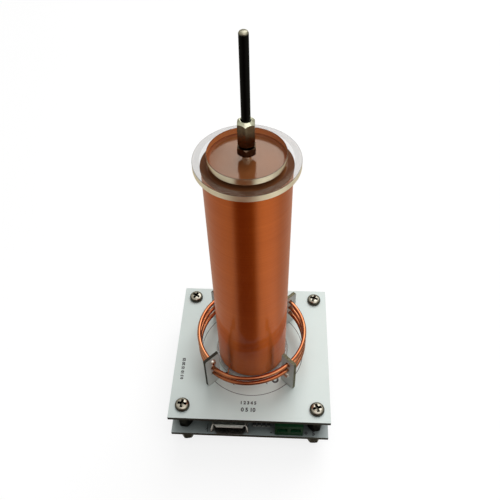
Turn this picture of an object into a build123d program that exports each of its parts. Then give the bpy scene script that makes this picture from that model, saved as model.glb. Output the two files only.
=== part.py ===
from build123d import *
import os
from math import cos, pi, radians, sin, sqrt

# Desktop resonant transformer on two stacked square circuit boards.
# Millimetres. Z is up along the coil axis, the sockets face -Y, and the origin is the
# centre of the square that the four legs stand on.

# ---- boards and the hexagonal spacers that carry them
board_side = 60.0
board_thick = 1.6
hole_pitch = 50.0
hole_radius = 1.6
leg_long = 9.0
spacer_long = 11.0
spacer_flats = 5.0
thread_radius = 1.5
thread_fit = 0.05
stud_reach = 4.0
leg_bore_deep = 6.0

# ---- pan-head screws on the upper board
head_radius = 2.75
head_flat_radius = 1.7
head_high = 2.0
head_rim = 0.7
screw_reach = 5.0
cross_long = 3.0
cross_wide = 0.8
cross_deep = 1.1
screw_turns = (38.0, 14.0, 62.0, 25.0)

# ---- upright supports of the primary coil
support_thick = 1.2
support_inward = 3.1
support_outward = 3.2
support_high = 17.0
support_round = 0.7
tongue_wide = 4.0
tongue_below = 0.5
slot_clear = 0.1

# ---- primary coil
primary_radius = 20.0
primary_wire = 1.5
primary_sides = 6
primary_first = 7.0
primary_pitch = 3.6
primary_quarters = 11
support_holes = 3
primary_hole_clear = 0.15
primary_end = 1.6
lift_slope_low = 0.13
lift_slope_high = 0.05

# ---- secondary coil on its clear former
former_radius = 12.7
former_wall = 2.0
former_long = 94.0
winding_thick = 0.3
winding_margin = 0.3
base_flange_radius = 14.0
top_flange_radius = 15.25
flange_thick = 2.2
top_disc_radius = 11.2
top_disc_thick = 2.2
lead_radius = 0.2
lead_notch_wide = 0.8
lead_pad_out = 1.2
lead_pad_up = 0.1
lead_angle = -127.0
lead_start_up = 3.8

# ---- discharge rod and its holder
small_thread = 1.25
nut_flats = 5.0
nut_high = 2.4
nut_bevel = 0.35
holder_flats = 4.6
holder_long = 8.3
holder_bevel = 1.0
holder_screw_gap = 0.3
small_head_radius = 2.3
small_head_high = 1.6
rod_radius = 1.25
rod_long = 29.8
rod_grip = 5.4
rod_bevel = 0.3

# ---- power socket
usb_across = -7.5
usb_wide = 13.1
usb_high = 5.7
usb_long = 13.0
usb_wall = 0.3
usb_corner = 0.7
usb_flap_long = 1.05
usb_flap_narrow = 0.85
usb_side_flare = 0.5
usb_top_flare = 0.3
usb_top_flap_wide = 11.4
usb_side_flap_wide = 4.6
usb_setback = 0.05
usb_tongue_wide = 11.1
usb_tongue_thick = 1.9
usb_tongue_down = 0.6
usb_tongue_back = 1.6
usb_tongue_bevel = 0.5
usb_block_long = 4.0
usb_contact_wide = 1.0
usb_contact_thick = 0.2
usb_contact_long = 6.5
usb_contact_places = (-3.5, -1.0, 1.0, 3.5)
usb_spring_wide = 1.6
usb_spring_long = 5.0
usb_spring_gap = 0.35
usb_spring_apart = 6.0
usb_spring_front = 3.4
usb_peg_wide = 1.4
usb_peg_thick = 0.6
usb_peg_below = 1.0
usb_peg_back = 4.5

# ---- screw terminal block
block_across = 15.0
block_pitch = 5.08
block_wide = 10.6
block_deep = 7.6
block_high = 10.0
block_setback = 0.5
block_nose_high = 7.5
block_slope = 1.2
block_front_wall = 1.2
block_web = 0.4
cell_wide = 4.3
cell_deep = 5.4
entry_wide = 3.8
entry_low = 2.9
entry_high = 5.5
clamp_wide = 4.0
clamp_deep = 4.0
clamp_wall = 0.5
clamp_low = 2.0
clamp_floor = 0.8
clamp_window = 3.0
clamp_top = 0.8
clamp_travel = 1.8
clamp_side_clear = 0.2
screw_head_radius = 1.85
screw_head_high = 0.9
screw_well_clear = 0.2
screw_float = 0.05
screw_shank_radius = 1.25
screw_shank_clear = 0.1
screw_thread_clear = 0.05
screw_slot_wide = 0.6
screw_slot_deep = 0.45
contact_wide = 2.4
contact_thick = 0.6
contact_below = 1.2
contact_gap = 0.1
contact_under = 0.1

# ---- parts soldered on the lower board
can_radius = 3.15
can_high = 5.4
can_base = 6.6
can_base_high = 1.0
can_base_cut = 1.2
can_bevel = 0.25
can_spot = (-15.5, 3.0)
driver_long = 4.9
driver_wide = 3.9
driver_high = 1.4
driver_lift = 0.15
driver_spot = (-2.0, -6.0)
lead_pitch = 1.27
lead_wide = 0.42
lead_thick = 0.22
lead_foot = 0.6
lead_span = 6.0
transistor_wide = 6.5
transistor_long = 6.1
transistor_high = 2.3
transistor_tab_thick = 0.5
transistor_tab_long = 1.1
transistor_tab_wide = 5.2
transistor_leg_wide = 0.8
transistor_leg_long = 2.7
transistor_leg_apart = 2.28
transistor_spot = (13.0, 4.0)
chip_long = 2.0
chip_wide = 1.25
chip_cap = 0.35
chip_cap_wrap = 0.05
chip_high = 0.5
chip_row_across = 4.5
chip_row_in = 4.6
chip_apart = 1.8
chip_count = 4

# ---- levels, from the floor up
lower_base = leg_long
lower_top = lower_base + board_thick
upper_base = lower_top + spacer_long
upper_top = upper_base + board_thick
former_base = upper_top + flange_thick
former_top = former_base + former_long
flange_top = former_top + flange_thick
disc_top = flange_top + top_disc_thick
nut_top = disc_top + nut_high
holder_top = nut_top + holder_long
front_edge = -board_side / 2
winding_radius = former_radius + winding_thick
bore_radius = thread_radius + thread_fit
small_bore = small_thread + thread_fit
support_angles = {"front_right": -45.0, "back_right": 45.0, "back_left": 135.0, "front_left": 225.0}


def corners():
    """Centres of the four corner holes."""
    half = hole_pitch / 2
    return [(x, y) for x in (-half, half) for y in (-half, half)]


def rod_of(radius, low, high):
    """A plain round bar on the Z axis between two levels."""
    return Pos(0, 0, low) * Cylinder(radius, high - low, align=(Align.CENTER, Align.CENTER, Align.MIN))


def slab(wide, deep, low, high):
    """A block centred on the Z axis between two levels."""
    return Pos(0, 0, low) * Box(wide, deep, high - low, align=(Align.CENTER, Align.CENTER, Align.MIN))


def hex_bar(flats, low, high, bevel=0):
    """A hexagonal bar with one corner to the front, its top end turned to a bevel if one is given."""
    outline = Rot(0, 0, 90) * RegularPolygon(flats / 2, 6, major_radius=False)
    bar = Pos(0, 0, low) * extrude(outline, high - low)
    if bevel:
        blank = rod_of(flats / sqrt(3), low, high)
        bar &= chamfer(blank.edges().filter_by(GeomType.CIRCLE).sort_by(Axis.Z)[-1], bevel)
    return bar


def pan_head():
    """A pan head that sits on the XY plane, with its cross recess."""
    outline = Polyline((0, head_high), (0, 0), (head_radius, 0), (head_radius, head_rim),
                       (head_flat_radius, head_high), close=True)
    head = revolve(Plane.XZ * make_face(outline), Axis.Z)
    cross = Rectangle(cross_long, cross_wide) + Rectangle(cross_wide, cross_long)
    return head - extrude(Pos(0, 0, head_high) * cross, -cross_deep)


# ---- boards, legs, spacers and screws
def legs():
    """Four hexagonal legs, each with a stud that goes up through the lower board."""
    leg = hex_bar(spacer_flats, 0, leg_long) - rod_of(bore_radius, 0, leg_bore_deep)
    leg += rod_of(thread_radius, leg_long, lower_top + stud_reach)
    return [Pos(x, y) * leg for x, y in corners()]


def spacers():
    """Four spacers, threaded right through: the leg's stud enters below and the screw above."""
    spacer = hex_bar(spacer_flats, lower_top, upper_base) - rod_of(bore_radius, lower_top, upper_base)
    return [Pos(x, y) * spacer for x, y in corners()]


def top_screws():
    """Four pan-head screws that hold the upper board down."""
    shank = rod_of(thread_radius, upper_top - board_thick - screw_reach, upper_top)
    head = pan_head()
    screws = []
    for (x, y), turn in zip(corners(), screw_turns):
        screws.append(Pos(x, y) * (shank + Pos(0, 0, upper_top) * Rot(0, 0, turn) * head))
    return screws


def board_blank(low):
    board = slab(board_side, board_side, low, low + board_thick)
    for x, y in corners():
        board -= Pos(x, y) * rod_of(hole_radius, low, low + board_thick)
    return board


def upper_board():
    """The board that carries both coils."""
    board = board_blank(upper_base)
    slot = slab(tongue_wide + 2 * slot_clear, support_thick + 2 * slot_clear,
                upper_base, upper_top)
    for angle in support_angles.values():
        board -= Rot(0, 0, angle) * Pos(primary_radius, 0) * slot
    return board


def lower_board():
    """The board that carries the power stage and the two supply inlets."""
    board = board_blank(lower_base)
    for x in clamp_places():
        pin = slab(contact_wide / 2 + 2 * contact_gap, contact_thick + 2 * contact_gap, lower_base, lower_top)
        board -= Pos(x, contact_leg_y()) * pin
    for x in (-1, 1):
        peg = slab(usb_peg_thick + 2 * slot_clear, usb_peg_wide + 2 * slot_clear, lower_base, lower_top)
        board -= Pos(usb_across + x * (usb_wide - usb_peg_thick) / 2, usb_peg_y()) * peg
    return board


# ---- primary coil and its supports
def wire_outline(clear=0):
    """The wire's section with a few flat sides and the area of the round one, clear of it by so much."""
    corner = primary_wire / 2 * sqrt(2 * pi / (primary_sides * sin(2 * pi / primary_sides)))
    return RegularPolygon(corner + clear, primary_sides)


def coil_support(angle):
    """An upright board with three holes for the turns and a tongue through the upper board."""
    across = support_inward + support_outward
    middle = primary_radius + (support_outward - support_inward) / 2
    plate = Pos(middle, support_high / 2) * Rectangle(across, support_high)
    outer = [v for v in plate.vertices() if v.X > primary_radius]
    plate = fillet(outer, support_round)
    tongue_high = board_thick + tongue_below
    plate += Pos(primary_radius, -tongue_high / 2) * Rectangle(tongue_wide, tongue_high)
    for turn in range(support_holes):
        plate -= Pos(primary_radius, primary_first + turn * primary_pitch) * wire_outline(primary_hole_clear)
    upright = extrude(Plane.XZ * plate, support_thick / 2, both=True)
    return Rot(0, 0, angle) * Pos(0, 0, upper_top) * upright


def primary_knots():
    """Where the wire passes each support: place and direction, one for each quarter turn."""
    knots = []
    for quarter in range(primary_quarters + 1):
        angle = radians(-45.0 + 90.0 * quarter)
        turn = (quarter + 1) // 4
        level = upper_top + primary_first + turn * primary_pitch
        slope = 0.0
        if quarter % 4 == 3 and quarter < primary_quarters:
            slope = lift_slope_low if turn == 1 else lift_slope_high
            level -= primary_pitch
        elif quarter == primary_quarters:
            level -= primary_pitch
        place = Vector(primary_radius * cos(angle), primary_radius * sin(angle), level)
        heading = Vector(-sin(angle), cos(angle), slope).normalized()
        knots.append((place, heading))
    return knots


def biarc(start, start_heading, end, end_heading):
    """Two arcs that leave the start and reach the end in the given directions."""
    span = end - start
    total = start_heading + end_heading
    bend = 2 * (1 - start_heading.dot(end_heading))
    along = span.dot(total)
    reach = (-along + sqrt(along * along + bend * span.dot(span))) / bend
    middle = (start + end + (start_heading - end_heading) * reach) * 0.5
    middle_heading = (middle - start - start_heading * reach).normalized()
    return [Edge.make_tangent_arc(start, start_heading, middle),
            Edge.make_tangent_arc(middle, middle_heading, end)]


def primary_path():
    knots = primary_knots()
    first, first_heading = knots[0]
    last, last_heading = knots[-1]
    edges = [Edge.make_line(first - first_heading * primary_end, first)]
    for (start, start_heading), (end, end_heading) in zip(knots, knots[1:]):
        edges += biarc(start, start_heading, end, end_heading)
    edges.append(Edge.make_line(last, last + last_heading * primary_end))
    return edges


def least_gap(edges, wire, steps=10, arcs_left_out=4):
    """The smallest space between turns, on points of the centre line half a turn or more apart."""
    points = [edge @ (i / steps) for edge in edges[1:-1] for i in range(steps)]
    apart = arcs_left_out * steps
    gaps = [(a - b).length for i, a in enumerate(points) for b in points[i + apart:]]
    return min(gaps) - wire


def primary_coil():
    """Two and three quarter turns of bare copper wire, one unbroken tube of a few flat sides."""
    edges = primary_path()
    print("primary coil least gap to itself", round(least_gap(edges, primary_wire), 2), "mm")
    path = Wire(edges)
    across = Vector(1, 0, 0).rotate(Axis.Z, support_angles["front_right"])
    section = Plane(edges[0] @ 0, x_dir=across, z_dir=edges[0] % 0) * wire_outline()
    return sweep(section, path=path)


# ---- secondary coil, its former and end plates
def coil_former():
    """A clear tube, its upper end notched for the lead."""
    tube = rod_of(former_radius, former_base, former_top)
    tube -= rod_of(former_radius - former_wall, former_base, former_top)
    notch = slab(3 * former_wall, lead_notch_wide, top_lead_level() - lead_notch_wide / 2, former_top)
    return tube - Pos(former_radius, 0) * notch


def secondary_winding():
    """The fine single layer winding, a plain sleeve at its real thickness."""
    low = former_base + winding_margin
    high = former_top - winding_margin
    return rod_of(winding_radius, low, high) - rod_of(former_radius, low, high)


def top_flange():
    return rod_of(top_flange_radius, former_top, flange_top) - rod_of(small_bore, former_top, flange_top)


def top_disc():
    return rod_of(top_disc_radius, flange_top, disc_top) - rod_of(small_bore, flange_top, disc_top)


def straight_lead(start, end):
    """Fine bare wire pulled straight between two places."""
    path = Line(start, end)
    return extrude(Plane(path @ 0, z_dir=path % 0) * Circle(lead_radius), path.length)


def base_lead():
    """The winding's lower end, pulled over the flange to a pad on the upper board."""
    side = Vector(1, 0, 0).rotate(Axis.Z, lead_angle)
    up = Vector(0, 0, 1)
    start = side * (winding_radius + lead_radius) + up * (former_base + lead_start_up)
    end = side * (base_flange_radius + lead_pad_out) + up * (upper_top + lead_pad_up)
    return straight_lead(start, end)


def top_lead_level():
    return former_top - small_head_high / 2


def top_lead():
    """The winding's upper end, led through the former's notch to the holder's screw."""
    return straight_lead((former_radius, 0, top_lead_level()), (small_head_radius, 0, top_lead_level()))


# ---- discharge rod and the fasteners on the coil's axis
def holder_screw():
    """The screw from inside the former that carries disc, nut and holder."""
    head = rod_of(small_head_radius, former_top - small_head_high, former_top)
    return head + rod_of(small_thread, former_top, holder_top - rod_grip - holder_screw_gap)


def holder_nut():
    return hex_bar(nut_flats, disc_top, nut_top, nut_bevel) - rod_of(small_bore, disc_top, nut_top)


def rod_holder():
    """A small hexagonal spacer: the screw enters from below and the rod from above."""
    bar = hex_bar(holder_flats, nut_top, holder_top, holder_bevel)
    return bar - rod_of(small_bore, nut_top, holder_top)


def discharge_rod():
    low = holder_top - rod_grip
    rod = rod_of(rod_radius, low, low + rod_long)
    return chamfer(rod.edges().filter_by(GeomType.CIRCLE).sort_by(Axis.Z)[-1], rod_bevel)


# ---- power socket
def usb_middle():
    return lower_top + usb_high / 2


def usb_front():
    return front_edge + usb_setback


def usb_back():
    return usb_front() + usb_long


def usb_peg_y():
    return usb_front() + usb_peg_back


def usb_ring(grow, at):
    """Closed outline of the shell, grown outwards, standing across the Y axis."""
    face = RectangleRounded(usb_wide + 2 * grow, usb_high + 2 * grow, usb_corner + grow)
    return Plane(origin=(usb_across, at, usb_middle()), x_dir=(1, 0, 0), z_dir=(0, -1, 0)) * face


def usb_flap(reach, wide, flare, turn):
    """One lip of the mouth: it leaves the wall at reach from the shell's axis and bends outwards."""
    side = Polyline((0, -usb_wall), (0, 0), (-usb_flap_long, flare), (-usb_flap_long, flare - usb_wall), close=True)
    lip = extrude(Plane.YZ * make_face(side), wide / 2, both=True)
    half = wide / 2
    plan = Polyline((-half, 0), (half, 0), (half - usb_flap_narrow, -usb_flap_long),
                    (usb_flap_narrow - half, -usb_flap_long), close=True)
    lip = lip & extrude(make_face(plan), usb_high, both=True)
    neck = usb_front() + usb_flap_long
    return Pos(usb_across, neck, usb_middle()) * Rot(0, turn, 0) * Pos(0, 0, reach) * lip


def usb_shell():
    """Folded sheet shell with four lips at its mouth, two spring fingers on top and two board pegs."""
    length = usb_long - usb_flap_long
    shell = extrude(usb_ring(0, usb_back()), length)
    shell -= extrude(usb_ring(-usb_wall, usb_back()), length)
    shell += usb_flap(usb_high / 2, usb_top_flap_wide, usb_top_flare, 0)
    shell += usb_flap(usb_high / 2, usb_top_flap_wide, 0, 180)
    top = usb_middle() + usb_high / 2
    for side in (-1, 1):
        shell += usb_flap(usb_wide / 2, usb_side_flap_wide, usb_side_flare, side * 90)
        x = usb_across + side * usb_spring_apart / 2
        y = usb_front() + usb_spring_front + usb_spring_long / 2
        window = slab(usb_spring_wide + 2 * usb_spring_gap, usb_spring_long + usb_spring_gap,
                      top - 2 * usb_wall, top + usb_wall)
        finger = slab(usb_spring_wide, usb_spring_long, top - usb_wall, top)
        shell -= Pos(x, y - usb_spring_gap / 2) * window
        shell += Pos(x, y) * finger
        peg = slab(usb_peg_thick, usb_peg_wide, lower_base - usb_peg_below, usb_middle())
        shell += Pos(usb_across + side * (usb_wide - usb_peg_thick) / 2, usb_peg_y()) * peg
    return shell


def usb_tongue_top():
    return usb_middle() + usb_high / 2 - usb_wall - usb_tongue_down


def usb_tongue():
    """Moulded insert: a block that fills the back of the shell and the tongue with the contacts."""
    front = usb_front() + usb_tongue_back
    block = extrude(usb_ring(-usb_wall, usb_back()), usb_block_long)
    top = usb_tongue_top()
    blade = Box(usb_tongue_wide, usb_back() - front, usb_tongue_thick,
                align=(Align.CENTER, Align.MIN, Align.MAX))
    nose = blade.edges().filter_by(Axis.Z).sort_by(Axis.Y)[:2]
    blade = chamfer(nose, usb_tongue_bevel)
    return block + Pos(usb_across, front, top) * blade


def usb_contacts():
    """Four flat contacts under the tongue."""
    level = usb_tongue_top() - usb_tongue_thick
    front = usb_front() + usb_tongue_back + usb_tongue_bevel
    strip = Box(usb_contact_wide, usb_contact_long, usb_contact_thick,
                align=(Align.CENTER, Align.MIN, Align.MAX))
    return [Pos(usb_across + x, front, level) * strip for x in usb_contact_places]


# ---- screw terminal block
def clamp_places():
    return [block_across - block_pitch / 2, block_across + block_pitch / 2]


def block_front():
    return front_edge + block_setback


def cell_front():
    return block_front() + block_front_wall


def clamp_y():
    return cell_front() + clamp_side_clear + clamp_deep / 2


def contact_leg_y():
    return clamp_y() + clamp_deep / 2 + clamp_side_clear + contact_thick / 2


def contact_top():
    return lower_top + clamp_low + clamp_floor + clamp_window - 2 * screw_float - contact_under


def block_ceiling():
    return lower_top + clamp_low + clamp_floor + clamp_window + clamp_top + clamp_travel + screw_float


def terminal_housing():
    """Moulded two-way housing, open beneath, with a wire entry and a screw well for each way."""
    front = block_front()
    profile = Polyline((front, lower_top), (front + block_deep, lower_top),
                       (front + block_deep, lower_top + block_high),
                       (front + block_slope, lower_top + block_high),
                       (front, lower_top + block_nose_high), close=True)
    body = extrude(Plane.YZ * make_face(profile), block_wide / 2, both=True)
    body = Pos(block_across) * body
    top = lower_top + block_high
    for x in clamp_places():
        cell = Pos(x, cell_front() + cell_deep / 2) * slab(cell_wide, cell_deep, lower_top, block_ceiling())
        entry = Pos(x, cell_front()) * slab(entry_wide, 2 * block_front_wall,
                                           lower_top + entry_low, lower_top + entry_high)
        well = Pos(x, clamp_y()) * rod_of(screw_head_radius + screw_well_clear, block_ceiling() + block_web, top)
        neck_wide = 2 * (screw_shank_radius + screw_shank_clear)
        neck = Pos(x, clamp_y()) * slab(neck_wide, neck_wide, block_ceiling(), top)
        body = body - cell - entry - well - neck
    return body


def clamp_screw(x):
    """Slotted clamping screw, its head captive in the well and its end inside the clamp."""
    head_low = block_ceiling() + block_web + screw_float
    head = rod_of(screw_head_radius, head_low, head_low + screw_head_high)
    head -= slab(2 * screw_head_radius, screw_slot_wide,
                 head_low + screw_head_high - screw_slot_deep, head_low + screw_head_high)
    shank = rod_of(screw_shank_radius, contact_top() + screw_float, head_low)
    return Pos(x, clamp_y()) * (head + shank)


def clamp(x):
    """Rising clamp: a square ring open front and back, threaded through its top."""
    low = lower_top + clamp_low
    high = low + clamp_floor + clamp_window + clamp_top
    ring = slab(clamp_wide, clamp_deep, low, high)
    ring -= slab(clamp_wide - 2 * clamp_wall, clamp_deep, low + clamp_floor, high - clamp_top)
    ring -= rod_of(screw_shank_radius + screw_thread_clear, high - clamp_top, high)
    return Pos(x, clamp_y()) * ring


def terminal_contacts():
    """A fixed bar in each clamp's window, bent down behind it to a pin through the board."""
    pieces = []
    top = contact_top()
    leg_back = contact_leg_y() + contact_thick / 2
    bar_front = clamp_y() - clamp_deep / 2
    for x in clamp_places():
        bar = Box(contact_wide, leg_back - bar_front, contact_thick, align=(Align.CENTER, Align.MIN, Align.MAX))
        leg = slab(contact_wide / 2, contact_thick, lower_base - contact_below, top)
        pieces.append(Pos(x, bar_front, top) * bar + Pos(x, contact_leg_y()) * leg)
    return pieces


# ---- parts soldered on the lower board
def filter_can():
    low = lower_top + can_base_high
    can = rod_of(can_radius, low, low + can_high)
    return Pos(*can_spot) * chamfer(can.edges().filter_by(GeomType.CIRCLE).sort_by(Axis.Z)[-1], can_bevel)


def filter_can_base():
    plate = Rectangle(can_base, can_base)
    cut = [v for v in plate.vertices() if v.X > 0]
    plate = chamfer(cut, can_base_cut)
    return Pos(*can_spot, lower_top) * extrude(plate, can_base_high)


def driver_chip():
    body = slab(driver_long, driver_wide, lower_top + driver_lift, lower_top + driver_lift + driver_high)
    return Pos(*driver_spot) * chamfer(body.edges().group_by(Axis.Z)[-1], driver_lift)


def driver_leads():
    """Eight leads, each folded down from the body to a flat foot."""
    leads = []
    middle = lower_top + driver_lift + driver_high / 2
    half = lead_span / 2
    body_half = driver_wide / 2
    neck = body_half + (half - lead_foot - body_half) / 2
    for side in (-1, 1):
        line = Polyline((side * body_half, middle), (side * neck, middle),
                        (side * (half - lead_foot), lower_top + lead_thick / 2),
                        (side * half, lower_top + lead_thick / 2))
        strip = extrude(Plane.YZ * trace(line, lead_thick), lead_wide / 2, both=True)
        for i in range(4):
            leads.append(Pos(driver_spot[0] + (i - 1.5) * lead_pitch, driver_spot[1], 0) * strip)
    return leads


def transistor_body():
    low = lower_top + transistor_tab_thick
    body = slab(transistor_wide, transistor_long, low, lower_top + transistor_high)
    return Pos(*transistor_spot) * chamfer(body.edges().group_by(Axis.Z)[-1], transistor_tab_thick / 2)


def transistor_tab():
    """Heat tab under the body and the two outer legs."""
    x, y = transistor_spot
    back = y + transistor_long / 2
    plate = slab(transistor_tab_wide, transistor_long, lower_top, lower_top + transistor_tab_thick)
    lip = slab(transistor_tab_wide, transistor_tab_long, lower_top, lower_top + transistor_tab_thick)
    pieces = [Pos(x, y) * plate + Pos(x, back + transistor_tab_long / 2) * lip]
    for side in (-1, 1):
        leg = slab(transistor_leg_wide, transistor_leg_long, lower_top, lower_top + transistor_tab_thick)
        pieces.append(Pos(x + side * transistor_leg_apart,
                          y - transistor_long / 2 - transistor_leg_long / 2) * leg)
    return pieces


def chip_places():
    first = chip_row_across - (chip_count - 1) / 2 * chip_apart
    return [(first + i * chip_apart, front_edge + chip_row_in) for i in range(chip_count)]


def chip_resistors():
    body = slab(chip_wide, chip_long - 2 * chip_cap, lower_top, lower_top + chip_high)
    return [Pos(x, y) * body for x, y in chip_places()]


def chip_ends():
    """Tinned ends of the chip resistors."""
    end = slab(chip_wide + 2 * chip_cap_wrap, chip_cap, lower_top, lower_top + chip_high + chip_cap_wrap)
    out = (chip_long - chip_cap) / 2
    return [Pos(x, y + side * out) * end for x, y in chip_places() for side in (-1, 1)]


# ---- every piece, by the name of its node
pieces = {
    "legs": legs(),
    "lower_board": lower_board(),
    "board_spacers": spacers(),
    "upper_board": upper_board(),
    "board_screws": top_screws(),
    "primary_coil": primary_coil(),
    "base_flange": rod_of(base_flange_radius, upper_top, former_base),
    "coil_former": coil_former(),
    "secondary_winding": secondary_winding(),
    "secondary_base_lead": base_lead(),
    "secondary_top_lead": top_lead(),
    "top_flange": top_flange(),
    "top_disc": top_disc(),
    "holder_screw": holder_screw(),
    "holder_nut": holder_nut(),
    "rod_holder": rod_holder(),
    "discharge_rod": discharge_rod(),
    "usb_shell": usb_shell(),
    "usb_tongue": usb_tongue(),
    "usb_contacts": usb_contacts(),
    "terminal_housing": terminal_housing(),
    "terminal_screw_left": clamp_screw(clamp_places()[0]),
    "terminal_screw_right": clamp_screw(clamp_places()[1]),
    "terminal_clamp_left": clamp(clamp_places()[0]),
    "terminal_clamp_right": clamp(clamp_places()[1]),
    "terminal_contacts": terminal_contacts(),
    "filter_can": filter_can(),
    "filter_can_base": filter_can_base(),
    "driver_chip": driver_chip(),
    "driver_leads": driver_leads(),
    "transistor_body": transistor_body(),
    "transistor_tab": transistor_tab(),
    "chip_resistors": chip_resistors(),
    "chip_ends": chip_ends(),
}
for place, angle in support_angles.items():
    pieces["coil_support_" + place] = coil_support(angle)

os.makedirs("parts", exist_ok=True)
for name, piece in pieces.items():
    shape = Compound(children=piece) if isinstance(piece, list) else piece
    export_step(shape, "parts/" + name + ".step")
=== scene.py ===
from math import cos, hypot, pi, radians, sin, sqrt

import bmesh
import bpy
from mathutils import Matrix, Vector


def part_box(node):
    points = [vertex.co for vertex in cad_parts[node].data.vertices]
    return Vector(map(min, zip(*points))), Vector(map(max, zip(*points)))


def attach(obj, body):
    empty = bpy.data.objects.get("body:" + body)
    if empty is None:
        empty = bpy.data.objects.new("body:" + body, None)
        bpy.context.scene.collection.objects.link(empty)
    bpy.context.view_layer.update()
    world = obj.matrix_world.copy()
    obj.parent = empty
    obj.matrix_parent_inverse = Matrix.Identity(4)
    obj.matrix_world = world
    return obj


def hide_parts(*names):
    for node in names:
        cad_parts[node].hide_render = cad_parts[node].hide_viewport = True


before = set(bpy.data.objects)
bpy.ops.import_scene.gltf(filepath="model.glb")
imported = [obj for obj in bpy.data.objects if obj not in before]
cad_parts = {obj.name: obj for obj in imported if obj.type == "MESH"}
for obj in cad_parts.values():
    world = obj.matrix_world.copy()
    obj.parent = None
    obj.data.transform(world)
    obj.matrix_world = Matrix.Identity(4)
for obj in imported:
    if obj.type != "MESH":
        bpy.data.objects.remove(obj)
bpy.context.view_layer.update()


# ---- Lower circuit board
# A 60 mm square of glass laminate with a satin white solder mask on both faces. The edges
# are sawn, so the dark olive laminate shows there. It carries the power stage and the inlets.

MM = 0.001


def shade(tree, kind, inputs=None, **settings):
    """A shader node; a value goes to the input of that name, and a socket is wired to it."""
    made = tree.nodes.new("ShaderNode" + kind)
    for key, value in settings.items():
        setattr(made, key, value)
    for key, value in (inputs or {}).items():
        if isinstance(value, bpy.types.NodeSocket):
            tree.links.new(value, made.inputs[key])
        else:
            made.inputs[key].default_value = value
    return made


def new_finish(name):
    """An empty material, its node tree and the place of each point on the piece."""
    finish = bpy.data.materials.new(name)
    finish.use_nodes = True
    tree = finish.node_tree
    tree.nodes.clear()
    return finish, tree, shade(tree, "TexCoord").outputs["Object"]


def reckon(tree, operation, first, second=0.0):
    """Arithmetic with two numbers."""
    return shade(tree, "Math", {0: first, 1: second}, operation=operation).outputs[0]


def vector(tree, operation, first, second=(0, 0, 0)):
    """Vector arithmetic; a length or a dot product comes out as one number."""
    made = shade(tree, "VectorMath", {0: first, 1: second}, operation=operation)
    return made.outputs["Value" if operation in ("LENGTH", "DOT_PRODUCT") else "Vector"]


def ramp(tree, measure, start, end, low=0.0, high=1.0, course="LINEAR"):
    """Goes from one value to another while a measure goes from its start to its end."""
    return shade(tree, "MapRange", {"Value": measure, "From Min": start, "From Max": end,
                                    "To Min": low, "To Max": high}, interpolation_type=course).outputs[0]


def clouds(tree, place, per_mm, low, high, detail=3.0, stretch=(1, 1, 1)):
    """Soft noise between two values, with so many clouds to the millimetre."""
    spot = shade(tree, "Mapping", {"Vector": place, "Scale": [per_mm / MM * part for part in stretch]})
    noise = shade(tree, "TexNoise", {"Vector": spot.outputs[0], "Scale": 1.0, "Detail": detail})
    return ramp(tree, noise.outputs[0], 0.3, 0.7, low, high)


def between(tree, share, first, second):
    """A colour between two others."""
    blend = shade(tree, "Mix", data_type="RGBA")
    for socket, value in ((blend.inputs[0], share), (blend.inputs[6], first), (blend.inputs[7], second)):
        if isinstance(value, bpy.types.NodeSocket):
            tree.links.new(value, socket)
        elif isinstance(value, (int, float)):
            socket.default_value = value
        else:
            socket.default_value = (*value, 1.0)
    return blend.outputs[2]


def darker(colour, share):
    return [part * share for part in colour]


def relief(tree, height, depth_mm, strength=1.0):
    """Fine bumps of a given depth."""
    return shade(tree, "Bump", {"Height": height, "Distance": depth_mm * MM, "Strength": strength}).outputs[0]


def coat(tree, inputs):
    """Joins the skin to the material's output."""
    skin = shade(tree, "BsdfPrincipled", inputs)
    shade(tree, "OutputMaterial", {"Surface": skin.outputs[0]})


def laminate_finish(name, mask, upright, sawn_dark=(0.005, 0.005, 0.003), sawn_pale=(0.030, 0.028, 0.016),
                    painted_shade_reach=None):
    """White solder mask on the broad faces, with painted shade where nearby parts close it in if a reach is
    given, and bare sawn edges.
    """
    finish, tree, place = new_finish(name)
    across = (0, 0, 1)
    if upright:
        across = vector(tree, "NORMALIZE", vector(tree, "CROSS_PRODUCT", place, (0, 0, 1)))
    broad = vector(tree, "DOT_PRODUCT", shade(tree, "NewGeometry").outputs["Normal"], across)
    masked = reckon(tree, "GREATER_THAN", reckon(tree, "ABSOLUTE", broad), 0.75)
    white = between(tree, clouds(tree, place, 0.05, 0.0, 1.0), mask, darker(mask, 0.94))
    # Painted shade: the mask darkens where nearby parts close it in, as under the upper board.
    if painted_shade_reach:
        open_sky = shade(tree, "AmbientOcclusion", {"Distance": painted_shade_reach * MM}, samples=12).outputs["AO"]
        white = between(tree, reckon(tree, "POWER", open_sky, 1.8), darker(mask, 0.07), white)
    layers = clouds(tree, place, 0.6, 0.0, 1.0, stretch=(3, 3, 1) if upright else (1, 1, 6))
    sawn = between(tree, layers, sawn_dark, sawn_pale)
    weave = clouds(tree, place, 1.5, 0.0, 1.0, detail=1.0)
    coat(tree, {"Base Color": between(tree, masked, sawn, white),
                "Roughness": reckon(tree, "SUBTRACT", 0.8, reckon(tree, "MULTIPLY", masked, 0.42)),
                "Normal": relief(tree, weave, 0.01, 0.25)})
    return finish


def dress(node, finish, round_by=0.0):
    """Gives a CAD node its finish and, where asked, slightly rounded edges."""
    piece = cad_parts[node]
    piece.data.materials.clear()
    piece.data.materials.append(finish)
    if round_by:
        weld = piece.modifiers.new("joined", "WELD")
        weld.merge_threshold = 0.001 * MM
        rounding = piece.modifiers.new("rounded", "BEVEL")
        rounding.width = round_by * MM
        rounding.segments = 2
        rounding.limit_method = "ANGLE"
        rounding.angle_limit = radians(30)
        rounding.harden_normals = True


# The lower board's mask carries painted shade under the upper board.
dress("lower_board", laminate_finish("solder_mask_with_painted_shade", (0.68, 0.77, 0.76), upright=False, painted_shade_reach=16.0))


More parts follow.
